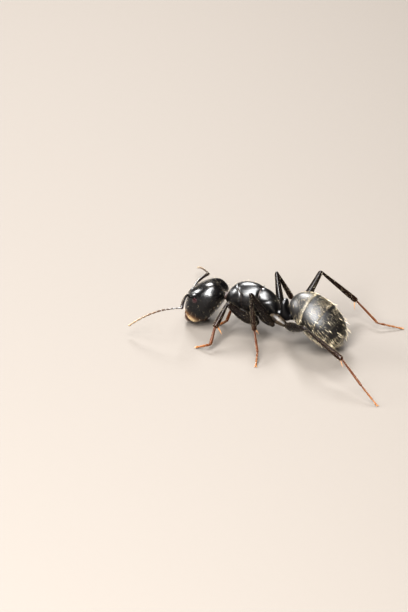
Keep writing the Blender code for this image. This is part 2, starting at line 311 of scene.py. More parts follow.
# ---- Eyes ----
# Each compound eye is a low dome of some hundreds of tiny hexagonal lenses, very dark red-black.
# The dome is half sunk in the side of the head behind the feelers, inside a fine raised rim.
EYE_LONG, EYE_WIDE, EYE_HIGH = 0.39, 0.32, 0.19
EYE_SINK = 0.06  # how much of the dome stays below its rim
EYE_OUT = Vector((0.10, 0.90, 0.46))
eye_finish, eye_shader, eye_places = finish("faceted_eye", (0.016, 0.005, 0.006), 0.12, 0.8)
eye_places.cells(36000.0).spread(0.0, 0.4).bump(0.4, 0.000008).feeds(eye_shader, "Normal")


def flattened(piece, long, wide, high):
    """Scales a new round primitive along its three axes."""
    bpy.ops.object.mode_set(mode="EDIT")
    bpy.ops.mesh.select_all(action="SELECT")
    bpy.ops.transform.resize(value=(long, wide, high), center_override=(0, 0, 0))
    bpy.ops.object.mode_set(mode="OBJECT")
    return piece


for side, sign in SIDES:
    mirror = Vector((1, sign, 1))
    picked()
    bpy.ops.mesh.primitive_ico_sphere_add(subdivisions=5, radius=1.0)
    eye = named(flattened(bpy.context.object, EYE_LONG, EYE_WIDE, EYE_HIGH), f"compound_eye_{side}")
    bpy.ops.object.mode_set(mode="EDIT")
    bpy.ops.mesh.bisect(plane_co=(0, 0, -EYE_SINK), plane_no=(0, 0, -1), use_fill=True, clear_outer=True)
    bpy.ops.object.mode_set(mode="OBJECT")
    bpy.ops.mesh.primitive_torus_add(major_radius=1.0, minor_radius=0.05, major_segments=48,
                                     minor_segments=8)
    rim = named(flattened(bpy.context.object, EYE_LONG, EYE_WIDE, EYE_HIGH * 2), f"eye_rim_{side}")
    outward = (EYE_OUT * mirror).normalized()
    seat = frame_at(Vector(EYE_SEAT) * mirror, Vector((1, 0, 0)) - outward * outward.x, outward)
    for piece, look in ((eye, eye_finish), (rim, black_shell)):
        settled(piece, head_place @ seat)
        piece.data.materials.append(look)
        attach(piece, "root")
    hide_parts(f"eye_{side}")

# ---- Lip and jaws ----
# Under the shield of the face hangs a thin tan lip, and below it close two triangular jaws of brown horn.
# Each jaw is a thick blade, convex outside, with five teeth along the edge where the two meet.
JAW_FORE = Vector((2.1, 0, 0.1))  # where the jaws meet; their horn darkens away from there
TOOTH_ROOTS = ((1.83, 0.8), (1.94, 0.8), (2.03, 0.85), (2.12, 0.95), (2.22, 1.2))  # (ahead, size)
jaw_finish, jaw_shader, jaw_places = finish("jaw_horn", (0.035, 0.014, 0.007), 0.28, 0.3)
jaw_places.node("ShaderNodeVectorMath", {"operation": "DISTANCE"}, "Value", i0=jaw_places,
                i1=tuple(head_place @ JAW_FORE * MM)).spread(0.2 * MM, 1.0 * MM).tinted(
    (0.0, (0.25, 0.15, 0.075)), (0.5, (0.11, 0.055, 0.026)),
    (0.95, (0.030, 0.013, 0.008))).feeds(jaw_shader, "Base Color")
lip = settled(grown("lip", [
    (1.50, 0, 0.60, 0.48, 0.10), (1.68, 0, 0.54, 0.60, 0.13), (1.84, 0, 0.46, 0.60, 0.11),
    (1.93, 0, 0.41, 0.52, 0.06), (1.95, 0, 0.40, 0.40, 0.03)], 28), head_place)
lip.data.materials.append(jaw_finish)
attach(lip, "root")
for side, sign in SIDES:
    parts = [grown("jaw", [(along, sign * out, rise, wide, high) for along, out, rise, wide, high in (
        (1.46, 0.66, -0.06, 0.24, 0.30), (1.56, 0.68, -0.02, 0.33, 0.38), (1.74, 0.63, 0.02, 0.40, 0.40),
        (1.91, 0.53, 0.03, 0.41, 0.37), (2.06, 0.42, 0.02, 0.34, 0.31), (2.19, 0.32, 0.00, 0.23, 0.24),
        (2.28, 0.24, -0.02, 0.13, 0.15), (2.32, 0.19, -0.03, 0.06, 0.08))], 24)]
    for root, size in TOOTH_ROOTS:
        parts.append(grown("tooth", [
            (root + ahead, sign * out, -0.01 + 0.05 * sign, wide * size, high * size)
            for ahead, out, wide, high in ((0, 0.16, 0.070, 0.10), (0.03, 0.09, 0.050, 0.07),
                                           (0.05, 0.03, 0.028, 0.04), (0.07, -0.015, 0.008, 0.012))], 10, 1))
    jaw = settled(joined(f"jaw_{side}", parts), head_place)
    jaw.data.materials.append(jaw_finish)
    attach(jaw, "root")
    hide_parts(f"mandible_{side}")

# ---- Palps ----
# Two pairs of short jointed feelers hang under the mouth: a long outer pair and a short inner pair.
# Each joint is a slim brown rod of thin horn; the row of rods curls back.
PALP_TURN, PALP_CURL = 0.9, 0.28  # in radians: how far back the first rod points, and less for each next
for name, aside, lengths in (("outer_palp", 0.30, (0.16, 0.20, 0.20, 0.18, 0.16)),
                             ("inner_palp", 0.12, (0.13, 0.14, 0.13))):
    for side, sign in SIDES:
        place, turn, rods = Vector((1.50, sign * aside, -0.74)), PALP_TURN, []
        for length in lengths:
            ahead = Vector((-math.cos(turn), sign * 0.22, -math.sin(turn))).normalized()
            rods.append(grown("palp_rod", [(share * length, 0, 0, radius, radius) for share, radius in (
                (-0.05, 0.014), (0.1, 0.024), (0.6, 0.030), (0.92, 0.032), (1.0, 0.018))], 8, 1))
            rods[-1].data.transform(frame_at(place, ahead, Vector((0, sign, 0))))
            place, turn = place + ahead * length, turn - PALP_CURL
        palp = settled(joined(f"{name}_{side}", rods), head_place)
        palp.data.materials.append(jaw_finish)
        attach(palp, "root")

# ---- Feelers ----
# A feeler is a long curved scape, an elbow and a whip of eleven short joints that brown towards the tip.
# Every joint is a small horn, widest near its far end, set in the mouth of the one before.
ELBOWS = {"left": Vector((-5.95, -4.24, 3.07)), "right": Vector((-6.99, 2.93, 2.44))}
WHIP_BENDS = {"left": Vector((-8.03, -4.74, 2.47)), "right": Vector((-8.40, 4.75, 1.75))}
WHIP_TIPS = {"left": Vector((-10.24, -4.79, 0.82)), "right": Vector((-9.68, 6.62, 0.68))}
SCAPE_BOWS = {"left": 0.12, "right": 0.22}
JOINTS = 11
SCAPE_END = 0.4  # the feeler's colours run from 0 at the socket over this at the elbow to 1 at the tip


def browning(name, roughness, coat, *stops):
    """Limb horn whose colour runs along the limb by the mesh's own attribute reach, from 0 to 1."""
    material, shader, places = finish(name, (0.02, 0.01, 0.008), roughness, coat)
    cloud = places.noise(2500.0, 3.0)
    reach = places.node("ShaderNodeAttribute", {"attribute_name": "reach"}, "Fac")
    (reach + cloud * 0.10 - 0.05).tinted(*stops).feeds(shader, "Base Color")
    places.cells(16000.0, "F1").bump(0.25, 0.000008).feeds(shader, "Normal")
    (cloud * 0.2 + (roughness - 0.1)).feeds(shader, "Roughness")
    return material, shader


def limb(name, start, end, profile, first, last, sag=Vector((0, 0, 0)), around=14, smoothing=2):
    """A limb joint from start to end; profile is (share of the length, radius), sag bows its middle.

    The mesh's attribute reach runs from first to last along it.
    """
    along = end - start
    place = frame_at(start, along)
    bowed = place.to_3x3().inverted() @ sag
    sections = []
    for share, radius in profile:
        lift = 4 * share * (1 - share) if 0 < share < 1 else 0
        sections.append((along.length * share, bowed.y * lift, bowed.z * lift, radius, radius))
    piece = grown(name, sections, around, smoothing)
    reach = first + (last - first) * np.clip(rows(piece)[:, 0] / along.length, 0, 1)
    piece.data.attributes.new("reach", "FLOAT", "POINT").data.foreach_set("value", reach)
    return settled(piece, place)


feeler_horn, _ = browning(
    "feeler_horn", 0.30, 0.15, (0.0, (0.008, 0.006, 0.0055)), (0.50, (0.012, 0.007, 0.006)),
    (0.72, (0.055, 0.032, 0.020)), (1.0, (0.19, 0.14, 0.095)))
for side, sign in SIDES:
    socket = head_place @ Vector((0.62, sign * 0.46, 1.33))
    elbow, bend, tip = (points[side] + STANCE_SHIFT for points in (ELBOWS, WHIP_BENDS, WHIP_TIPS))
    ahead = (elbow - socket).normalized()
    collar = socket + ahead * 0.16 + head_up * 0.05
    parts = [
        limb("collar", socket - head_up * 0.12, collar, (
            (0, 0.10), (0.35, 0.12), (0.7, 0.10), (1.0, 0.05)), 0, 0.01),
        limb("scape", collar - ahead * 0.06, elbow, (
            (0.0, 0.05), (0.03, 0.085), (0.12, 0.100), (0.45, 0.122), (0.8, 0.135), (0.95, 0.136),
            (1.0, 0.10), (1.015, 0.05)), 0.01, SCAPE_END, head_up * SCAPE_BOWS[side])]
    control = bend * 2 - (elbow + tip) / 2
    shares = [index / JOINTS for index in range(JOINTS + 1)]
    knots = [elbow * (1 - share) ** 2 + control * 2 * share * (1 - share) + tip * share ** 2
             for share in shares]
    browns = [SCAPE_END + (1 - SCAPE_END) * share for share in shares]
    for index in range(JOINTS):
        size = 0.074 + 0.024 * shares[index] if index < JOINTS - 1 else 0.086
        parts.append(limb("whip_joint", knots[index], knots[index + 1], (
            (-0.04, 0.036), (0.05, 0.050), (0.35, size * 0.86), (0.8, size), (0.95, size * 0.93),
            (0.99, size * 0.6)), browns[index], browns[index + 1], around=10, smoothing=1))
    feeler = joined(f"feeler_{side}", parts)
    feeler.data.materials.append(feeler_horn)
    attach(feeler, "root")
    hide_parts(*(f"antenna_{side}_{part}" for part in ("scape", "flagellum_base", "flagellum_tip")))

# ---- Trunk ----
# Three thick plates of black chitin arch over the leg muscles: pronotum, mesonotum and propodeum.
# They are parted from one smooth shell along its sutures, and dark leathery skin fills the grooves between.
STANCE = Matrix.Translation(STANCE_SHIFT)
TRUNK_WIDE, TRUNK_FLOOR = 1.10, 1.78
FRONT_SUTURE, REAR_SUTURE = -2.42, -1.20  # along the trunk, on its flank
trunk = grown("trunk", [
    (along, 0, (bottom + top) / 2, TRUNK_WIDE * half, (top - bottom) / 2) for along, bottom, top, half in (
        (-4.02, 2.22, 2.62, 0.24), (-3.98, 2.10, 2.78, 0.36), (-3.86, 2.00, 3.04, 0.52),
        (-3.62, 1.92, 3.43, 0.76), (-3.20, 1.84, 3.83, 0.95), (-2.70, TRUNK_FLOOR, 4.04, 1.0),
        (-2.10, TRUNK_FLOOR, 4.13, 0.93), (-1.50, TRUNK_FLOOR, 4.09, 0.82), (-1.05, TRUNK_FLOOR, 3.96, 0.72),
        (-0.55, TRUNK_FLOOR, 3.77, 0.66), (-0.10, TRUNK_FLOOR, 3.46, 0.61), (0.17, TRUNK_FLOOR, 3.04, 0.55),
        (0.30, 1.86, 2.60, 0.42), (0.33, 1.98, 2.44, 0.24))], 40)


def suture_lag(y, z, suture):
    """How far a suture runs ahead of its place on the flank: the front plate's rear edge is a deep U."""
    if suture == REAR_SUTURE:
        return 0.12 * (z - 3.0)
    return -0.70 * np.clip(1 - y ** 2, 0, 1) * np.clip((z - 2.2) / 1.4, 0, 1)


def slid(piece, suture, way):
    """Slides the shell's points along so that a curved suture becomes a flat cut, or back again."""
    points = rows(piece)
    points[:, 0] -= way * suture_lag(points[:, 1], points[:, 2], suture)
    reshaped(piece, points)


def plate(source, name, cuts):
    """A copy of a whole shell cut down to one plate; each cut is (suture, side of it that goes)."""
    picked(source)
    bpy.ops.object.duplicate()
    piece = named(bpy.context.object, name)
    for suture, gone in cuts:
        slid(piece, suture, 1)
        bpy.ops.object.mode_set(mode="EDIT")
        bpy.ops.mesh.select_all(action="SELECT")
        bpy.ops.mesh.bisect(plane_co=(suture, 0, 0), plane_no=(gone, 0, 0), use_fill=True, clear_outer=True,
                            threshold=1e-5)
        bpy.ops.object.mode_set(mode="OBJECT")
        slid(piece, suture, -1)
    return piece


def trunk_relief(points, normals):
    """Grooves along the sutures and side seams, and the raised rear rim of the front plate."""
    depth = np.zeros(len(points))
    x, y, z = points.T
    for suture, width, deep in ((FRONT_SUTURE, 0.055, 0.050), (REAR_SUTURE, 0.060, 0.075)):
        off = x - suture - suture_lag(y, z, suture)
        depth -= deep * ridge(off, width)
        depth += 0.016 * ridge(off + 0.12, 0.06)
    side = np.clip((np.abs(normals[:, 1]) - 0.35) * 4, 0, 1)
    middle = np.clip((x + 2.75) * 6, 0, 1) * np.clip((0.1 - x) * 6, 0, 1)
    long_seam = z - 2.96 - 0.22 * (x + 1.2)
    depth -= 0.045 * ridge(long_seam, 0.045) * side * middle
    oblique_seam = (x + 1.02) - 0.55 * (z - 2.6)
    depth -= 0.045 * ridge(oblique_seam, 0.045) * side * np.clip((2.95 - z) * 5, 0, 1)
    depth -= 0.05 * ridge(x + 3.80, 0.07) * np.clip((x + 3.9) * 3, 0, 1)
    depth -= 0.05 * ridge(x + 1.10, 0.30) * np.clip((normals[:, 2] - 0.2) * 2, 0, 1)
    return depth


trunk_plates = []
for name, cuts in (("pronotum", ((FRONT_SUTURE, 1),)), ("mesonotum", ((FRONT_SUTURE, -1), (REAR_SUTURE, 1))),
                   ("propodeum", ((REAR_SUTURE, -1),))):
    shell = settled(sculpted(plate(trunk, f"{name}_plate", cuts), trunk_relief), STANCE)
    bpy.ops.object.shade_smooth_by_angle(angle=math.radians(50))
    shell.data.materials.append(black_shell)
    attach(shell, "root")
    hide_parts(name)
    trunk_plates.append(shell)
soft_skin, soft_shader, soft_places = finish("soft_skin", (0.020, 0.012, 0.009), 0.55)
soft_places.noise(12000.0, 3.0).bump(0.4, 0.00002).feeds(soft_shader, "Normal")
groove_skin = sculpted(trunk, lambda points, normals: trunk_relief(points, normals) - 0.05)
settled(named(groove_skin, "groove_skin"), STANCE)
groove_skin.data.materials.append(soft_skin)
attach(groove_skin, "root")

# ---- Breathing holes ----
# A pair of small lidded knobs stands at the rear suture, and two oval slits open on each flank.
# Each is a ring of chitin round a dark pit, set square to the shell.
for side, sign in SIDES:
    for name, place, out, long, wide in (
            ("back_spiracle", (-1.05, -sign * 0.24, 3.90), (0.15, sign * 0.35, 1), 0.062, 0.050),
            ("flank_spiracle", (0.02, -sign * 0.60, 2.92), (0.45, sign * 0.9, 0.1), 0.10, 0.05),
            ("collar_spiracle", (-2.60, -sign * 1.08, 2.86), (0, sign * 1, 0.25), 0.075, 0.05)):
        picked()
        bpy.ops.mesh.primitive_torus_add(major_radius=1.0, minor_radius=0.42, major_segments=24,
                                         minor_segments=8)
        ring = named(flattened(bpy.context.object, long, wide, 0.07), f"{name}_{side}")
        outward = Vector(out).normalized()
        seat = frame_at(Vector(place), UP - outward * outward.z, outward * Vector((1, -1, 1)))
        settled(ring, STANCE @ seat)
        ring.data.materials.append(black_shell)
        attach(ring, "root")

# ---- Neck ----
# A short ringed cone of dark brown skin and chitin joins the back of the head to the front plate.
neck = limb("neck", Vector((-3.80, 0, 2.48)) + STANCE_SHIFT, Vector((-4.55, 0.02, 2.62)) + STANCE_SHIFT, (
    (0, 0.28), (0.1, 0.36), (0.3, 0.34), (0.38, 0.30), (0.5, 0.33), (0.6, 0.28), (0.75, 0.30), (0.9, 0.26),
    (1.0, 0.15)), 0, 0.6, around=24)
neck.data.materials.append(soft_skin)
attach(neck, "root")

# ---- Waist ----
# The petiole is one small joint that carries an upright black scale with a thin rounded crest.
# A narrow stalk joins it to the trunk, and another behind it enters the front of the gaster.
petiole = grown("petiole_scale", [
    (1.57, 0, 0.00, 0.22, 0.28), (1.66, 0, 0.02, 0.31, 0.42), (1.90, 0, 0.02, 0.36, 0.49),
    (2.10, 0, 0.01, 0.38, 0.47), (2.30, 0, -0.02, 0.41, 0.38), (2.65, 0, -0.05, 0.46, 0.31),
    (2.98, 0, -0.06, 0.45, 0.26), (3.20, 0, -0.05, 0.37, 0.21), (3.34, 0, -0.04, 0.22, 0.15),
    (3.38, 0, -0.03, 0.10, 0.08)], 28)
settled(petiole, STANCE @ frame_at(Vector((0.90, 0, 0)), UP, Vector((1, 0, 0))))
petiole.data.materials.append(black_shell)
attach(petiole, "root")
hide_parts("petiole")
for name, start, end, radii in (
        ("front_stalk", (0.18, 0, 2.10), (0.62, 0, 2.02), (0.30, 0.24, 0.22, 0.28)),
        ("rear_stalk", (1.20, 0, 1.98), (1.72, -0.02, 2.16), (0.26, 0.19, 0.20, 0.30))):
    stalk = limb(name, Vector(start) + STANCE_SHIFT, Vector(end) + STANCE_SHIFT,
                 zip((0, 0.35, 0.65, 1.0), radii), 0, 0.3, around=20)
    stalk.data.materials.append(black_shell)
    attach(stalk, "root")

# ---- Gaster ----
# The rear body is five telescoping rings of black chitin; each ring's thin rear rim laps over the next.
# Rims are pale straw where the chitin thins out. Very short flat golden down gives the rings a soft sheen.
GASTER_LONG, GASTER_WIDE, GASTER_DEEP = 2.55, 1.70, 1.64  # half axes of the egg
GASTER_TURN, GASTER_DIP = -5, -32  # degrees
RING_EDGES = (-2.55, -0.82, 0.42, 1.45, 2.1, 2.53)  # along the egg's axis
RIM_BANDS = ((0.40, 1.0), (0.16, 0.5), (0.16, 0.5), (0.16, 0.5), (0.16, 0.0))  # width and strength of straw
RING_STEPS = 9
LIP = 0.045  # how far a ring's rear rim stands over the next ring


def heading(azimuth, rise):
    """Unit direction from its azimuth, from straight back towards the right, and its rise, in degrees."""
    azimuth, rise = math.radians(azimuth), math.radians(rise)
    return Vector((math.cos(azimuth) * math.cos(rise), math.sin(azimuth) * math.cos(rise), math.sin(rise)))


def gaster_reach(along):
    """Half width of the egg at a place on its axis, as a share of the widest."""
    share = np.clip(along / GASTER_LONG, -1, 1)
    return np.maximum(1 - share * share, 0) ** np.where(share < 0, 0.45, 0.5)


def belly(along, rise):
    """The belly is flatter than the back: how much of its depth a point at a place and height keeps."""
    flat = np.interp(along, (-2.55, -1.6, 0.5, 1.7), (0.84, 0.73, 0.74, 1.0))
    return np.where(rise < 0, 1 - (1 - flat) * np.clip(-rise / 0.9, 0, 1), 1.0)


def ring_lean(along):
    """How much a ring's edge leans at a place on the axis: the front rings stand more upright."""
    return np.interp(along, (-2.55, -0.82, 0.4, 1.45, 2.1), (0, 0.38, 0.22, 0.08, 0))


gaster_axis = heading(GASTER_TURN, GASTER_DIP)
gaster_place = frame_at(Vector((3.63, -0.10, 2.24)) + STANCE_SHIFT, gaster_axis)
gaster_shell, gaster_shader, gaster_places = finish("gaster_shell", (0.010, 0.009, 0.008), 0.40, 0.06)
down = gaster_places.node("ShaderNodeMapping", Vector=gaster_places, Scale=(0.22, 1, 1), Rotation=(
    0, math.radians(GASTER_DIP), math.radians(-GASTER_TURN))).noise(42000.0, 2.0).spread(0.50, 0.68)
gold = down.node("ShaderNodeMix", {"data_type": "RGBA"}, 2, i0=down * 0.07,
                 i6=(0.0040, 0.0037, 0.0038, 1.0), i7=(0.16, 0.12, 0.06, 1.0))
rims = gaster_places.node("ShaderNodeAttribute", {"attribute_name": "rim"}, "Fac").spread(0.10, 1.0)
rims = rims * (gaster_places.noise(2600.0, 3.0) + 0.30)
gold.node("ShaderNodeMix", {"data_type": "RGBA"}, 2, i0=rims, i6=gold,
          i7=(0.095, 0.082, 0.060, 1.0)).feeds(gaster_shader, "Base Color")
(down * 0.6 + gaster_places.cells(CELL_NET).spread(0, 0.3) * 0.25).bump(0.30, 0.000015).feeds(
    gaster_shader, "Normal")
gaster_rings = []
for index, (start, end, (band, strength)) in enumerate(zip(RING_EDGES, RING_EDGES[1:], RIM_BANDS)):
    inner = max(start - 0.22, -GASTER_LONG)
    sections = []
    for share in (step / RING_STEPS for step in range(RING_STEPS + 1)):
        if index == 0:
            along = -GASTER_LONG * math.cos(math.acos(-end / GASTER_LONG) * share)
            stand = LIP * 0.5 * share
        else:
            along = inner + (end - inner) * share
            stand = -0.05 + (0.05 + LIP * 0.5) * share ** 0.7
        reach = float(gaster_reach(along))
        wide, deep = (max(half * reach + stand, 0.05) for half in (GASTER_WIDE, GASTER_DEEP))
        sections.append((along, 0, 0, wide, deep))
    if end < RING_EDGES[-1]:  # the rim turns in and ends inside the next ring
        sections += [(along + 0.035, 0, 0, wide - 0.012, deep - 0.012),
                     (along + 0.040, 0, 0, wide - 0.035, deep - 0.035),
                     (along - 0.02, 0, 0, wide - 0.075, deep - 0.075),
                     (along - 0.30, 0, 0, wide * 0.7, deep * 0.7)]
    else:
        sections[-1:] = [(along - 0.01, 0, 0, 0.14, 0.14), (along + 0.03, 0, 0, 0.06, 0.06)]
    ring = grown(f"gaster_ring_{index + 1}", sections, 48)
    x, y, z = rows(ring).T
    ring.data.attributes.new("rim", "FLOAT", "POINT").data.foreach_set(
        "value", np.clip(1 - (end + 0.035 - x) / band, 0, 1) * strength)
    leant = x
    for _ in range(6):  # the egg's width where a point lands depends on how far it leans
        share = gaster_reach(leant) / np.maximum(gaster_reach(x), 0.02)
        leant = x - ring_lean(x) * z * share
    z = z * share
    settled(reshaped(ring, np.stack([leant, y * share, z * belly(leant, z)], 1)), gaster_place)
    ring.data.materials.append(gaster_shell)
    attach(ring, "root")
    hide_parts(f"gaster_{index + 1}")
    gaster_rings.append(ring)

# ---- Legs ----
# Each leg is a stout coxa, a short trochanter, a long femur and tibia, and a foot of five small joints.
# The horn is brown at the hips, near black on the thighs and clears to orange at toes, claws and spurs.
HIPS = {"front": (-1.17, 0.74, 1.18), "middle": (0.20, 0.90, 1.40), "hind": (1.28, 0.67, 1.46)}
COXA_TOPS = {"front": (-2.75, 0.72, 1.95), "middle": (-0.85, 0.62, 1.95), "hind": (-0.10, 0.42, 1.92)}
LIMB_LENGTHS = {"front": (2.80, 2.20, 1.50, 1.27), "middle": (3.30, 2.90, 2.00, 1.48),
                "hind": (4.30, 4.00, 2.74, 1.95)}
COXA_RADII = {"front": 0.46, "middle": 0.42, "hind": 0.38}
COXA_ENDS = {"front": 1.48, "middle": 1.08, "hind": 1.0}  # how stout the lower end is
FEMUR_RADII = {"front": 0.42, "middle": 0.32, "hind": 0.37}
FEMUR_BELLY = {"front": 0.24, "middle": 0.04, "hind": 0.10}  # how far the thigh's middle hangs
TIBIA_RADII = {"front": 0.24, "middle": 0.21, "hind": 0.21}
FOOT_RADII = {"front": 0.12, "middle": 0.088, "hind": 0.088}
SPUR_STOUT = {"front": 1.5, "middle": 1.0, "hind": 1.0}
LEG_STANCE = {  # azimuth and rise of femur, tibia and first foot joint, then the toes' azimuth
    ("front", "left"): ((-160, 35), (-99, -37), (-82, -36), -179),
    ("front", "right"): ((146, 34), (-115, -38), (-84, -21), 146),
    ("middle", "left"): ((-148, 58), (-43, -73), (-58, -27), -71),
    ("middle", "right"): ((129, 59), (50, -62), (34, -41), 38),
    ("hind", "left"): ((-46, 24), (-20, -17), (-32, -23), -26),
    ("hind", "right"): ((75, 39), (33, -44), (-28, -18), 24),
}
SPURS = {  # azimuth, rise and length of the spur at each shin's end
    ("front", "left"): (-14, -49, 0.74), ("front", "right"): (20, -49, 0.74),
    ("middle", "left"): (-7, -45, 0.50), ("middle", "right"): (10, -45, 0.50),
    ("hind", "left"): (-40, -50, 0.66), ("hind", "right"): (-65, -62, 0.74),
}
TOE_HEIGHT = 0.085  # the last toe joint's axis over the table
TOE_SHARES = (0.30, 0.22, 0.17, 0.31)
# Where coxa, femur, tibia, first foot joint and toes begin and end on the leg's run of colours from 0 to 1.
COXA_REACH, FEMUR_REACH, TIBIA_REACH, FOOT_REACH, TOE_REACH = 0.09, 0.14, 0.42, 0.64, 0.84
LEG_SPANS = {}  # start and end of each leg's joints, for the bristles

# This horn also carries a painted warm reflection on the undersides of femora and tibiae, set below through
# reach.
leg_horn_with_painted_undersides, leg_shader = browning(
    "leg_horn_with_painted_undersides", 0.28, 0.0, (0.0, (0.046, 0.036, 0.026)), (0.03, (0.010, 0.008, 0.007)),
    (0.06, (0.040, 0.030, 0.020)), (0.09, (0.006, 0.005, 0.0045)), (0.14, (0.014, 0.010, 0.007)),
    (0.21, (0.008, 0.006, 0.0048)), (0.27, (0.0055, 0.0043, 0.004)), (0.48, (0.007, 0.0045, 0.0036)),
    (0.60, (0.010, 0.0048, 0.0032)), (0.65, (0.032, 0.010, 0.0036)), (0.86, (0.060, 0.0195, 0.006)),
    (1.0, (0.15, 0.060, 0.019)))
leg_shader.inputs["Specular IOR Level"].default_value = 0.20
spur_horn, spur_shader, spur_places = finish("spur_horn", (0.45, 0.20, 0.055), 0.35)
spur_places.noise(9000.0, 2.0).tinted(
    (0.3, (0.17, 0.070, 0.022)), (0.7, (0.30, 0.145, 0.050))).feeds(spur_shader, "Base Color")


def thickened(radius, *profile):
    """A limb's profile whose second numbers are shares of one radius."""
    return [(share, radius * size) for share, size in profile]


for (pair, side), (femur_way, tibia_way, foot_way, toe_azimuth) in LEG_STANCE.items():
    mirror = Vector((1, -1 if side == "left" else 1, 1))
    top, hip = (Vector(points[pair]) * mirror + STANCE_SHIFT for points in (COXA_TOPS, HIPS))
    long_femur, long_tibia, long_foot, long_toes = LIMB_LENGTHS[pair]
    knee = hip + heading(*femur_way) * long_femur
    ankle = knee + heading(*tibia_way) * long_tibia
    instep = ankle + heading(*foot_way) * long_foot
    fall = -math.degrees(math.asin((instep.z - TOE_HEIGHT) / long_toes))
    toe_way = heading(toe_azimuth, fall)
    toe_end = instep + toe_way * long_toes
    for name, *span in (("femur", hip, knee), ("tibia", knee, ankle), ("basitarsus", ankle, instep),
                        ("toes", instep, toe_end)):
        LEG_SPANS[pair, side, name] = span
    coxa, femur, tibia, foot = (radii[pair] for radii in (COXA_RADII, FEMUR_RADII, TIBIA_RADII, FOOT_RADII))
    down_leg, thigh, shin = ((lower - upper).normalized() for upper, lower in (
        (top, hip), (hip, knee), (knee, ankle)))
    hinge = hip + thigh * 0.16
    hip_reach = 0.0 if pair == "hind" else COXA_REACH  # the hind legs' bases are the brownest
    parts = {"coxa": [limb("coxa", top - down_leg * 0.10, hip, thickened(
        coxa, (0.0, 0.55), (0.06, 0.86), (0.25, 1), (0.55, 0.94), (0.82, 0.66 * COXA_ENDS[pair]),
        (0.95, 0.55 * COXA_ENDS[pair]), (1.0, 0.36)), hip_reach, 0.10, around=20)]}
    parts["femur"] = [
        limb("trochanter", hip - thigh * 0.16, hinge + thigh * 0.16, [(0.0, 0.07)] + thickened(
            femur, (0.12, 0.52), (0.5, 0.66), (0.85, 0.60), (1.0, 0.40)), 0.10, FEMUR_REACH, around=16),
        limb("femur", hinge, knee, thickened(
            femur, (0.0, 0.42), (0.04, 0.62), (0.14, 0.96), (0.30, 1), (0.58, 0.80), (0.84, 0.58),
            (0.95, 0.54), (1.0, 0.44), (1.02, 0.22)), FEMUR_REACH, TIBIA_REACH,
            Vector((0, 0, -FEMUR_BELLY[pair])), 18)]
    parts["tibia"] = [limb("tibia", knee - shin * 0.05, ankle, thickened(
        tibia, (0.0, 0.42), (0.02, 0.56), (0.06, 0.48), (0.16, 0.58), (0.50, 0.86), (0.85, 1.02),
        (0.95, 1.06), (0.99, 0.86), (1.0, 0.5)), TIBIA_REACH, 0.62, around=16)]
    parts["basitarsus"] = [limb("basitarsus", ankle - heading(*foot_way) * 0.04, instep, thickened(
        foot, (0.0, 0.55), (0.03, 0.80), (0.10, 0.85), (0.55, 1), (0.92, 1.12), (0.985, 1.05), (1.0, 0.6)),
        FOOT_REACH, TOE_REACH, around=12)]
    parts["toes"] = []
    reached = 0.0
    for share in TOE_SHARES:
        span = (reached, reached + share)
        slim, waist = (0.82, 0.86) if share == TOE_SHARES[-1] else (0.95, 0.95)
        parts["toes"].append(limb(
            "toe", *(instep + toe_way * long_toes * way for way in span), thickened(
                foot * slim, (-0.05, 0.4), (0.0, 0.55), (0.15, 0.62), (0.7, waist), (0.92, 1.05),
                (0.99, 0.9), (1.0, 0.5)), *(TOE_REACH + 0.16 * way for way in span), around=10, smoothing=1))
        reached = span[1]
    for name, pieces in parts.items():
        piece = joined(f"{pair}_{side}_{name}", pieces)
        if name in ("femur", "tibia"):  # the undersides are painted browner: a painted warm reflection from the floor below
            # Painted reflection: points facing down are pushed along the colour run to a browner tone.
            under = np.maximum(-rows(piece, "normal")[:, 2] - 0.2, 0)
            store = piece.data.attributes["reach"].data
            reach = np.empty(len(under), np.float32)
            store.foreach_get("value", reach)
            store.foreach_set("value", reach + (0.66 - reach) * np.minimum(under * 1.2, 1) ** 1.5)
        piece.data.materials.append(leg_horn_with_painted_undersides)
        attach(piece, "root")
        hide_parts(f"leg_{pair}_{side}_{name}")
        "foot" if name in ("basitarsus", "toes") else "leg"
    across = toe_way.cross(UP).normalized()
    hooks = []
    for way in (-1, 1):
        point = toe_end + toe_way * 0.16 + across * way * 0.10
        point.z = 0.012
        bend = toe_end + toe_way * 0.12 + across * way * 0.085 + UP * 0.035
        for start, end, radii in ((toe_end - toe_way * 0.04, bend, (0.030, 0.036, 0.026)),
                                  (bend - (point - bend) * 0.1, point, (0.026, 0.018, 0.005))):
            hooks.append(limb("claw", start, end, zip((0, 0.5, 1.0), radii), 0, 1, around=8, smoothing=1))
    spur_azimuth, spur_rise, spur_long = SPURS[pair, side]
    inward = heading(spur_azimuth, spur_rise)
    base = ankle - shin * 0.20 + inward * tibia * 0.55
    hooks.append(limb("spur", base, base + inward * spur_long, thickened(
        SPUR_STOUT[pair], (0, 0.030), (0.10, 0.044), (0.35, 0.036), (0.7, 0.022)) + [(1.0, 0.005)],
        0, 1, shin * -0.05, 8, 1))
    claws = joined(f"{pair}_{side}_claws_and_spurs", hooks)
    claws.data.materials.append(spur_horn)
    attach(claws, "root")

# ---- Down and bristles ----
# Golden hairs grow from tiny pits: long bristles stand in rows on the gaster and thinly on head and trunk.
# Short down lies flat towards the tail. One hair is modelled and set on its root again and again.
PATCH = 0.003  # width of one hair's patch on its skin's unwrap
SWERVE, SWAY = 0.16, 0.09  # how much hairs stray sideways and in their lean
HAIR_BOW = 0.16  # how far a hair's tip bows towards the lie, as a share of its length
hair_gold, hair_shader, hair_places = finish("hair_gold", (0.50, 0.38, 0.19), 0.38)
hair_places.noise(3000.0, 2.0).tinted((0.30, (0.12, 0.095, 0.058)), (0.52, (0.33, 0.275, 0.185)),
                                      (0.72, (0.76, 0.68, 0.52))).feeds(hair_shader, "Base Color")
draw = np.random.default_rng(11)


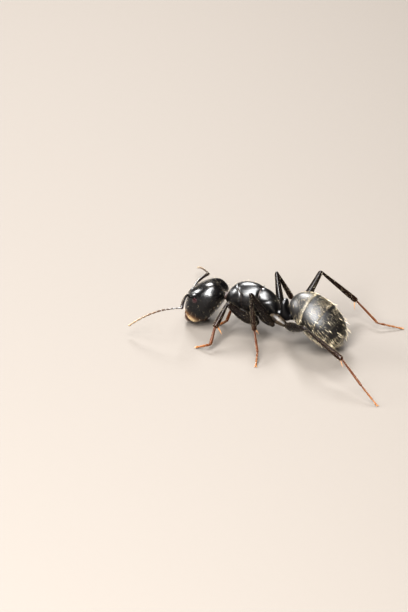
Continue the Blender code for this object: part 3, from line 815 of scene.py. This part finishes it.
def hair_shape(*sections):
    """Points and triangles of one hair a millimetre long, and each point's place on its patch.

    Sections are (along, up, half width, half height).
    """
    hair = grown("hair", [(along, 0, *rest) for along, *rest in sections], 3, 0)
    bpy.ops.object.mode_set(mode="EDIT")
    bpy.ops.mesh.quads_convert_to_tris()
    bpy.ops.object.mode_set(mode="OBJECT")
    points = np.array([tuple(vertex.co) for vertex in hair.data.vertices])
    faces = np.array([tuple(face.vertices) for face in hair.data.polygons])
    bpy.data.objects.remove(hair)
    across = 0.5 + 0.5 * np.sin(np.arctan2(points[:, 1], points[:, 2]))
    return points, faces, np.stack([points[:, 0], across], 1)


BRISTLE = hair_shape((0, 0, 1.0, 1.0), (0.35, 0.02, 0.85, 0.85), (0.72, 0.09, 0.5, 0.5),
                     (1.0, 0.20, 0.08, 0.08))
DOWN = hair_shape((0, 0, 1.0, 0.7), (0.5, 0.03, 0.8, 0.6), (1.0, 0.0, 0.1, 0.1))


def unit(ways):
    """The same directions, each of length 1."""
    return ways / np.maximum(np.linalg.norm(ways, axis=1), 1e-18)[:, None]


def sown(skins, count, chance, apart):
    """Seeded roots spread over the skins' outer faces: their places and normals, thinned to stand apart."""
    corners = []
    for skin in skins:
        skin.data.calc_loop_triangles()
        index = np.empty(len(skin.data.loop_triangles) * 3, np.int64)
        skin.data.loop_triangles.foreach_get("vertices", index)
        corners.append(rows(skin)[index.reshape(-1, 3)])
    corners = np.concatenate(corners)
    normals = np.cross(corners[:, 1] - corners[:, 0], corners[:, 2] - corners[:, 0])
    area = np.linalg.norm(normals, axis=1)
    picks = draw.choice(len(corners), count, p=area / area.sum())
    first, second = draw.random((2, count))
    over = first + second > 1
    first[over], second[over] = 1 - first[over], 1 - second[over]
    tri = corners[picks]
    roots = tri[:, 0] + first[:, None] * (tri[:, 1] - tri[:, 0]) + second[:, None] * (tri[:, 2] - tri[:, 0])
    normals = unit(normals)[picks]
    kept = draw.random(count) < chance(roots, normals)
    roots, normals = roots[kept], normals[kept]
    cells, stay = {}, []
    for index, root in enumerate(roots):
        cell = tuple(np.floor(root / apart).astype(int))
        near = (cells.get((cell[0] + i, cell[1] + j, cell[2] + k), ())
                for i in (-1, 0, 1) for j in (-1, 0, 1) for k in (-1, 0, 1))
        if all(np.sum((roots[other] - root) ** 2) > apart ** 2 for group in near for other in group):
            cells.setdefault(cell, []).append(index)
            stay.append(index)
    return roots[stay], normals[stay]


def planted(name, shape, skins, unwrap, chance, count, apart, lie, lean, length, thick):
    """One coat piece: the hair set on each root sown on the skins, leaning from its normal towards the lie.

    Count is how many roots are tried, chance gives each one's chance to stay. Apart, length and thick are
    in metres and lean is in radians; lie and length may be functions of the roots.
    """
    points, faces, spot = shape
    roots, normals = sown(skins, count, chance, apart)
    lie, length = (given(roots) if callable(given) else given for given in (lie, length))
    count = len(roots)
    lie = unit(lie - normals * np.sum(lie * normals, 1)[:, None])
    across = np.cross(normals, lie)
    lie = unit(lie + across * draw.normal(0, SWERVE, count)[:, None])
    lean = lean + draw.normal(0, SWAY, count)
    ahead = normals * np.cos(lean)[:, None] + lie * np.sin(lean)[:, None]
    over = unit(np.cross(ahead, across))
    side = np.cross(over, ahead)
    length = length * draw.uniform(0.78, 1.18, count)
    placed = ((roots - ahead * (thick * 0.6))[:, None]
              + ahead[:, None] * (points[:, 0] * length[:, None])[:, :, None]
              + side[:, None] * (points[:, 1] * thick)[None, :, None]
              - over[:, None] * (points[:, 2] * thick)[None, :, None])
    bow = np.clip(points[:, 0], 0, 1) ** 2 * HAIR_BOW
    placed += lie[:, None] * (bow[None] * length[:, None])[:, :, None]
    mesh = bpy.data.meshes.new(name)
    index = (faces[None, :, ::-1] + (np.arange(count) * len(points))[:, None, None]).reshape(-1, 3)
    mesh.from_pydata(placed.reshape(-1, 3).tolist(), [], index.tolist())
    patches = (unwrap(roots)[:, None] + (spot[None] - 0.5) * PATCH).reshape(-1, 2)
    loops = np.empty(len(mesh.loops), np.int64)
    mesh.loops.foreach_get("vertex_index", loops)
    mesh.uv_layers.new(name="OFBake").data.foreach_set("uv", patches[loops].ravel())
    piece = bpy.data.objects.new(name, mesh)
    bpy.context.collection.objects.link(piece)
    mesh.shade_smooth()
    mesh.materials.append(hair_gold)
    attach(piece, "root")


def in_place(place):
    """The world-to-piece change of a place given in millimetres, for rows of points."""
    back = np.array((Matrix.Scale(MM, 4) @ place).inverted())
    return lambda points: points @ back[:3, :3].T + back[:3, 3]


def rounded(place, first, last):
    """An unwrap of a long round form: once round its axis by once along it."""
    inner = in_place(place)

    def unwrap(points):
        x, y, z = inner(points).T
        once_round = 0.5 + np.arctan2(y, z) / math.tau * 0.98
        return np.stack([once_round, 0.01 + 0.98 * (x - first) / (last - first)], 1)
    return unwrap


gaster_inner = in_place(gaster_place)
gaster_unwrap = rounded(gaster_place, -2.7, 2.7)


def on_the_outside(points):
    """True where a point lies on the visible outside of the gaster, not on a lapped inner wall."""
    x, y, z = gaster_inner(points).T
    return np.hypot(y / GASTER_WIDE, z / GASTER_DEEP / belly(x, z / belly(x, z))) > gaster_reach(x) - 0.012


def gaster_lie(roots):
    """Hairs sweep back and slightly down over the flanks."""
    z = gaster_inner(roots)[:, 2]
    flank = np.clip(1 - np.abs(z), 0, 1)[:, None]
    return np.array(gaster_axis)[None] + np.array((0, 0, -0.25))[None] * flank


def bristle_chance(points, normals):
    """Bristles stand thickest on the rear and lower gaster and in a row along each ring's rim."""
    x, _, z = gaster_inner(points).T
    x = x + ring_lean(x) * z
    rear = np.clip((x + 0.7) / 1.6, 0.02, 1)
    low = np.clip(0.72 - z / 1.5, 0.08, 1)
    rim = np.max([ridge(x - edge + 0.06, 0.05) for edge in RING_EDGES[1:5]], axis=0)
    sparse_belly = np.clip((z + 1.5) / 0.6, 0.25, 1)
    return np.clip(rear * low ** 2 + 0.8 * rim * low, 0, 1) * sparse_belly * on_the_outside(points)


def bristle_length(roots):
    """Bristles are longest at the tail's top and short below."""
    x, _, z = gaster_inner(roots).T
    return (0.00030 + 0.00016 * np.clip((x + 1.0) / 3, 0, 1)) * np.clip(1.15 + z / 1.9, 0.42, 1)


def down_chance(points, normals):
    """Down is thickest over the top of the first ring and thins out towards the flanks and the tail."""
    x, _, z = gaster_inner(points).T
    top = np.clip(z - 0.5, 0, 0.8) / 0.8 * np.clip(1.3 - x, 0, 1)
    band = ridge(x + ring_lean(x) * z + 0.95, 0.20)
    return np.clip(0.04 + 0.42 * top + 0.62 * band, 0, 1) * on_the_outside(points)


planted("gaster_bristles", BRISTLE, gaster_rings, gaster_unwrap, bristle_chance, count=16000,
        apart=0.000125, lie=gaster_lie, lean=1.05, length=bristle_length, thick=0.0000135)
planted("gaster_down", DOWN, gaster_rings, gaster_unwrap, down_chance, count=30000,
        apart=0.000045, lie=gaster_lie, lean=1.42, length=0.00017, thick=0.0000058)

# Head and trunk carry fine sparse down and a few standing bristles on crown, nape, collar and waist.
head_inner, head_unwrap = in_place(head_place), rounded(head_place, -2.1, 1.9)
eye_spots = np.array([tuple(Vector(EYE_SEAT) * Vector((1, sign, 1))) for sign in (1, -1)])


def clear_of_eyes(points):
    inner = head_inner(points)
    return np.min([np.linalg.norm(inner - spot, axis=1) for spot in eye_spots], axis=0) > 0.47


def head_down_chance(points, normals):
    ahead, _, up = head_inner(points).T
    return clear_of_eyes(points) * np.clip(0.06 + 0.6 * (ahead < -1.2) + 0.25 * (up > 0.9), 0, 1)


def head_bristle_chance(points, normals):
    ahead, _, up = head_inner(points).T
    crown = ridge(ahead + 1.45, 0.35) * (up > 0) + 0.9 * ridge(ahead - 1.35, 0.3) * (up > 0)
    throat = 0.25 * (up < -0.3)
    clear_of_floor = points[:, 2] > 0.00045
    return np.clip(crown + throat + 0.10, 0, 1) * clear_of_eyes(points) * clear_of_floor


def trunk_bristle_chance(points, normals):
    x, _, z = in_place(STANCE)(points).T
    bands = 0.8 * ridge(x + 3.3, 0.4) + 0.5 * ridge(x + 2.0, 0.5) + 0.8 * ridge(x, 0.35)
    return np.clip(bands, 0, 1) * (z > 3.0)


towards_mouth = np.array(head_forward)
trunk_unwrap = rounded(STANCE @ frame_at(UP * 2.9, Vector((1, 0, 0))), -4.1, 0.4)
planted("head_down", DOWN, [head], head_unwrap, head_down_chance, count=5000,
        apart=0.00017, lie=towards_mouth, lean=1.38, length=0.000070, thick=0.0000026)
planted("head_bristles", BRISTLE, [head], head_unwrap, head_bristle_chance, count=900,
        apart=0.00033, lie=towards_mouth, lean=0.45, length=0.00021, thick=0.0000065)
planted("trunk_down", DOWN, trunk_plates, trunk_unwrap,
        lambda points, normals: np.abs(normals[:, 0]) < 0.93, count=9000, apart=0.00015,
        lie=np.array((1.0, 0, -0.2)), lean=1.38, length=0.00008, thick=0.0000026)
planted("trunk_bristles", BRISTLE, trunk_plates, trunk_unwrap, trunk_bristle_chance,
        count=1000, apart=0.00036, lie=np.array((1.0, 0, 0)), lean=0.45, length=0.00022, thick=0.0000065)

# Legs and feelers bear fine bristles that lie along each joint towards the foot or the tip.
for pair, side in LEG_STANCE:
    for name, apart, length, thick, slot in (
            ("femur", 0.00016, 0.00011, 0.0000060, "leg"), ("tibia", 0.00013, 0.00012, 0.0000060, "leg"),
            ("basitarsus", 0.00010, 0.00010, 0.0000055, "foot"),
            ("toes", 0.00009, 0.00008, 0.0000050, "foot")):
        start, end = LEG_SPANS[pair, side, name]
        way = np.array((end - start).normalized())
        planted(f"{pair}_{side}_{name}_bristles", DOWN, [bpy.data.objects[f"{pair}_{side}_{name}"]],
                rounded(frame_at(start, end - start), -0.2, (end - start).length + 0.2),
                lambda points, normals: ((np.abs(normals @ way) < 0.6)
                                         & ((normals[:, 2] > -0.3) | (points[:, 2] > 0.00025))),
                count=1600, apart=apart, lie=way, lean=1.05, length=length, thick=thick)
for side, _ in SIDES:
    elbow, tip = ELBOWS[side] + STANCE_SHIFT, WHIP_TIPS[side] + STANCE_SHIFT
    way = np.array((tip - elbow).normalized())
    planted(f"feeler_{side}_down", DOWN, [bpy.data.objects[f"feeler_{side}"]],
            rounded(frame_at(elbow, tip - elbow), -4.0, (tip - elbow).length + 0.2),
            lambda points, normals: np.abs(normals @ way) < 0.7,
            count=3600, apart=0.00009, lie=way, lean=1.1, length=0.000075, thick=0.0000045)

# ---- Floor, light and camera ----
# The ant stands on a plain pale table among four softboxes: behind and above, overhead, a tall one in
# front whose reflection lies behind the eye, and one on the left that lights the collar.
picked()
bpy.ops.mesh.primitive_plane_add(size=1.2)
floor = named(bpy.context.object, "table")
paper, paper_shader, paper_places = finish("pale_paper", (0.093, 0.082, 0.0715), 0.8)
paper_places.noise(900.0, 4.0).bump(0.10, 0.0001).feeds(paper_shader, "Normal")
floor.data.materials.append(paper)

AZIMUTH, ELEVATION = math.radians(25), math.radians(28)
DISTANCE = 0.230
HALF_VIEW = 0.0237025562  # from the middle of the view to its top edge, in metres at the ant
AIM_RIGHT, AIM_UP = -5.48, 2.25  # of the ant's own frame, in millimetres
SOFTBOXES = (  # right, up and out of the aim, width, height, all in metres, and watts
    ("back_softbox", -0.020, 0.180, -0.056, 0.070, 0.070, 0.62),
    ("top_softbox", 0.010, 0.140, 0.120, 0.090, 0.090, 0.52),
    ("front_softbox", -0.050, 0.045, 0.168, 0.080, 0.160, 1.30),
    ("left_softbox", -0.160, 0.098, -0.012, 0.080, 0.060, 0.42))
camera_right = Vector((math.cos(AZIMUTH), math.sin(AZIMUTH), 0))
camera_up = Vector((-math.sin(AZIMUTH) * math.sin(ELEVATION), math.cos(AZIMUTH) * math.sin(ELEVATION),
                    math.cos(ELEVATION)))
towards_camera = camera_right.cross(camera_up)
aim = (camera_right * AIM_RIGHT + camera_up * AIM_UP + STANCE_SHIFT) * MM


def hung(name, data, place, ahead):
    """A camera or lamp at a place, looking ahead."""
    made = bpy.data.objects.new(name, data)
    made.location = place
    made.rotation_euler = ahead.to_track_quat("-Z", "Y").to_euler()
    bpy.context.collection.objects.link(made)
    return made


camera_data = bpy.data.cameras.new("camera")
camera_data.lens = camera_data.sensor_width * DISTANCE / (2 * HALF_VIEW)
camera_data.clip_start = 0.01
bpy.context.scene.camera = hung("camera", camera_data, aim + towards_camera * DISTANCE, -towards_camera)
for name, right, up, out, wide, high, power in SOFTBOXES:
    lamp = bpy.data.lights.new(name, "AREA")
    lamp.shape = "RECTANGLE"
    lamp.size, lamp.size_y, lamp.energy = wide, high, power
    place = aim + camera_right * right + camera_up * up + towards_camera * out
    hung(name, lamp, place, aim - place)
world = bpy.data.worlds.new("studio")
world.use_nodes = True
world.node_tree.nodes["Background"].inputs["Color"].default_value = (1.0, 0.98, 0.95, 1.0)
world.node_tree.nodes["Background"].inputs["Strength"].default_value = 0.01
bpy.context.scene.world = world
bpy.context.scene.view_settings.view_transform = "Standard"
bpy.context.scene.view_settings.look = "High Contrast"
